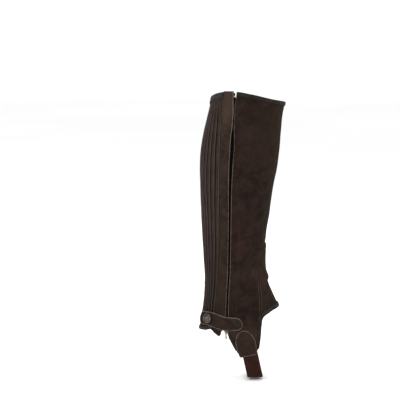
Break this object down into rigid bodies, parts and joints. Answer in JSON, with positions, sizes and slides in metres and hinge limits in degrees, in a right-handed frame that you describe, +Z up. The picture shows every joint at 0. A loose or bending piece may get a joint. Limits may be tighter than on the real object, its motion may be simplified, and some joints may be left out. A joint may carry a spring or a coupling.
{
  "type": "half chap",
  "caption": "Suede half chap for a right leg, as worn: ribbed elastic back, side zip with a hanging pull tab, snap strap at the ankle and an elastic stirrup under the foot.",
  "frame": {"origin": "On the leg's axis at the calf: 114 mm below the top edge beside the zip, and 358 mm above the lowest point of the stirrup elastic.", "axes": "+X points to the toe, +Y to the inner side of the leg, +Z up the leg. The zip and the snap strap are on the outer side, -Y."},
  "size_m": [0.1424, 0.1147, 0.4728],
  "materials": {
    "suede": "brushed suede, reddish dark brown",
    "suede_strip": "brushed suede, a little lighter",
    "ribbed_elastic": "ribbed woven elastic, dull",
    "binding_tape": "folded elastic tape, olive grey",
    "stirrup_webbing": "woven elastic, reddish brown",
    "zip_cloth": "woven zip tape, dark brown",
    "zip_teeth": "moulded teeth, dark brown",
    "bright_metal": "bright nickel, worn",
    "antique_metal": "antique pewter"
  },
  "bodies": {
    "half_chap": {"front_panel": "suede", "rear_strip_outer": "suede_strip", "rear_strip_inner": "suede", "elastic_back": "ribbed_elastic", "top_binding_front": "binding_tape", "top_binding_back": "binding_tape", "hem_binding_front": "binding_tape", "hem_binding_outer": "binding_tape", "hem_binding_inner": "binding_tape", "hem_binding_back": "binding_tape", "snap_strap": "suede_strip", "snap_cap": "antique_metal", "snap_stud": "antique_metal", "stirrup_patch_outer": "suede_strip", "stirrup_patch_inner": "suede_strip", "stirrup_elastic": "stirrup_webbing", "zip_tape_front": "zip_cloth", "zip_tape_rear": "zip_cloth", "zip_chain": "zip_teeth", "zip_top_stop": "bright_metal", "zip_slider": "antique_metal"},
    "pull_tab": {"zip_pull": "bright_metal"}
  },
  "joints": [
    {"name": "zip_pull_hinge", "type": "hinge", "parent": "half_chap", "child": "pull_tab", "pos_m": [-0.02071, -0.03897, -0.28027], "axis": [-0.9823, 0.1875, 0], "range_deg": [0, 115]}
  ]
}
